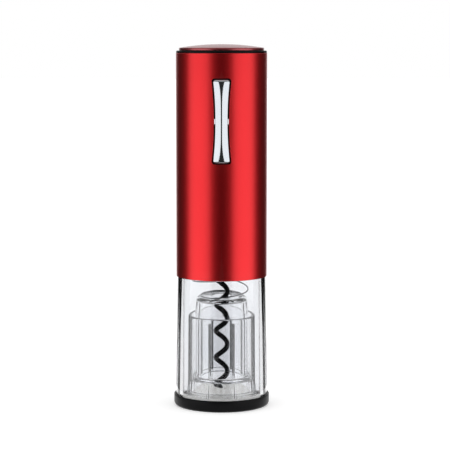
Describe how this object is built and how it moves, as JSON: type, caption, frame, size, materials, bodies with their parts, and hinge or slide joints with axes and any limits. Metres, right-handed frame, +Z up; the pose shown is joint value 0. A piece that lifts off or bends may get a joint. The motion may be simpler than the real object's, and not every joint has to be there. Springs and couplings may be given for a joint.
{
  "type": "electric wine opener",
  "caption": "Upright cordless corkscrew: metallic sleeve with rocker switch and battery cap over a clear bottle chamber with a coated worm and a floating cork sleeve.",
  "frame": {"origin": "centre of the base ring's underside, on the surface it stands on", "axes": "+Z up along the worm, -Y towards the face with the rocker switch, +X to the right of that face"},
  "size_m": [0.053, 0.053, 0.1999],
  "materials": {
    "black_plastic": "moulded black plastic, soft gloss",
    "clear_plastic": "clear moulded plastic",
    "spring_steel": "drawn spring wire",
    "red_metal": "satin red anodised aluminium",
    "red_cap": "gloss red metallic",
    "grey_plastic": "moulded dark plastic",
    "steel": "turned steel",
    "dark_steel": "black oxide steel",
    "worm_coating": "black non-stick coating on steel",
    "bronze": "sintered bronze",
    "nylon": "natural nylon",
    "brass": "brass",
    "zinc_steel": "zinc plated steel",
    "lead_insulation": "soft lead insulation",
    "nickel": "nickel plated strip",
    "cell_wrap": "plain wrapped cell",
    "circuit_board": "green circuit board",
    "switch_plastic": "black switch body with rubber dome",
    "chrome": "polished chrome plate"
  },
  "bodies": {
    "chamber": {"base_ring": "black_plastic", "clear_chamber": "clear_plastic", "neck_guide": "clear_plastic"},
    "cork_carrier": {"cork_sleeve": "clear_plastic"},
    "drive_unit": {"outer_sleeve": "red_metal", "bulkhead": "nylon", "return_spring": "spring_steel", "chassis_front": "grey_plastic", "chassis_rear": "grey_plastic", "chassis_screws": "steel", "output_plate": "grey_plastic", "output_bush": "bronze", "thrust_washer": "steel", "ring_gear": "grey_plastic", "motor_plate": "steel", "gearbox_screws": "steel", "motor_can": "zinc_steel", "motor_end_bell": "nylon", "motor_terminals": "brass", "motor_screws": "steel", "motor_leads": "lead_insulation", "battery_tray": "grey_plastic", "battery_contacts": "nickel", "battery_springs": "spring_steel", "battery_cells": "cell_wrap", "switch_bezel": "black_plastic", "switch_pin": "steel", "switch_board": "circuit_board", "tact_switches": "switch_plastic", "top_ring": "black_plastic"},
    "worm_drive": {"output_carrier": "steel", "output_carrier_pins": "steel", "output_shaft": "steel", "worm_chuck": "steel", "chuck_screw": "dark_steel", "corkscrew_worm": "worm_coating"},
    "stage_2_planet_a": {"planet_2a": "nylon"},
    "stage_2_planet_b": {"planet_2b": "nylon"},
    "stage_2_planet_c": {"planet_2c": "nylon"},
    "stage_1_carrier": {"carrier_1": "nylon", "carrier_1_pins": "steel"},
    "stage_1_planet_a": {"planet_1a": "nylon"},
    "stage_1_planet_b": {"planet_1b": "nylon"},
    "stage_1_planet_c": {"planet_1c": "nylon"},
    "motor_spindle": {"motor_shaft": "steel", "motor_pinion": "brass"},
    "rocker": {"rocker_button": "chrome"},
    "cap_carrier": {"contact_carrier": "grey_plastic", "cap_contacts": "nickel", "cap_springs": "spring_steel", "carrier_rivet": "steel"},
    "cap": {"cap_plug": "black_plastic", "cap_plate": "red_cap"}
  },
  "joints": [
    {"name": "drive_lift", "type": "slide", "parent": "chamber", "child": "drive_unit", "axis": [0, 0, 1], "range_m": [0, 0.075]},
    {"name": "cork_lift", "type": "slide", "parent": "chamber", "child": "cork_carrier", "axis": [0, 0, 1], "range_m": [0, 0.023], "deforming": ["return_spring"]},
    {"name": "worm_spin", "type": "hinge", "parent": "drive_unit", "child": "worm_drive", "pos_m": [0, 0, 0.08], "axis": [0, 0, 1], "continuous": true},
    {"name": "planet_2a_spin", "type": "hinge", "parent": "worm_drive", "child": "stage_2_planet_a", "pos_m": [0.0081, 0, 0.094], "axis": [0, 0, 1], "continuous": true},
    {"name": "planet_2b_spin", "type": "hinge", "parent": "worm_drive", "child": "stage_2_planet_b", "pos_m": [-0.00405, 0.00701, 0.094], "axis": [0, 0, 1], "continuous": true},
    {"name": "planet_2c_spin", "type": "hinge", "parent": "worm_drive", "child": "stage_2_planet_c", "pos_m": [-0.00405, -0.00701, 0.094], "axis": [0, 0, 1], "continuous": true},
    {"name": "carrier_1_spin", "type": "hinge", "parent": "drive_unit", "child": "stage_1_carrier", "pos_m": [0, 0, 0.098], "axis": [0, 0, 1], "continuous": true},
    {"name": "planet_1a_spin", "type": "hinge", "parent": "stage_1_carrier", "child": "stage_1_planet_a", "pos_m": [0.0081, 0, 0.101], "axis": [0, 0, 1], "continuous": true},
    {"name": "planet_1b_spin", "type": "hinge", "parent": "stage_1_carrier", "child": "stage_1_planet_b", "pos_m": [-0.00405, 0.00701, 0.101], "axis": [0, 0, 1], "continuous": true},
    {"name": "planet_1c_spin", "type": "hinge", "parent": "stage_1_carrier", "child": "stage_1_planet_c", "pos_m": [-0.00405, -0.00701, 0.101], "axis": [0, 0, 1], "continuous": true},
    {"name": "motor_spin", "type": "hinge", "parent": "drive_unit", "child": "motor_spindle", "pos_m": [0, 0, 0.12], "axis": [0, 0, 1], "continuous": true},
    {"name": "rocker_tilt", "type": "hinge", "parent": "drive_unit", "child": "rocker", "pos_m": [0, -0.0223, 0.15855], "axis": [1, 0, 0], "range_deg": [-3.5, 3.5], "stiffness_Nm_per_rad": 0.6},
    {"name": "cap_lift", "type": "slide", "parent": "drive_unit", "child": "cap_carrier", "axis": [0, 0, 1], "range_m": [0, 0.002]},
    {"name": "cap_turn", "type": "hinge", "parent": "cap_carrier", "child": "cap", "pos_m": [0, 0, 0.196], "axis": [0, 0, 1], "range_deg": [0, 90]}
  ],
  "couplings": [
    {"joint": "carrier_1_spin", "follows": "worm_spin", "ratio": 6},
    {"joint": "motor_spin", "follows": "worm_spin", "ratio": 36},
    {"joint": "planet_2a_spin", "follows": "worm_spin", "ratio": -2.5},
    {"joint": "planet_1a_spin", "follows": "worm_spin", "ratio": -15},
    {"joint": "planet_2b_spin", "follows": "worm_spin", "ratio": -2.5},
    {"joint": "planet_1b_spin", "follows": "worm_spin", "ratio": -15},
    {"joint": "planet_2c_spin", "follows": "worm_spin", "ratio": -2.5},
    {"joint": "planet_1c_spin", "follows": "worm_spin", "ratio": -15},
    {"joint": "cap_lift", "follows": "cap_turn", "m_per_rad": 0.0012732}
  ]
}
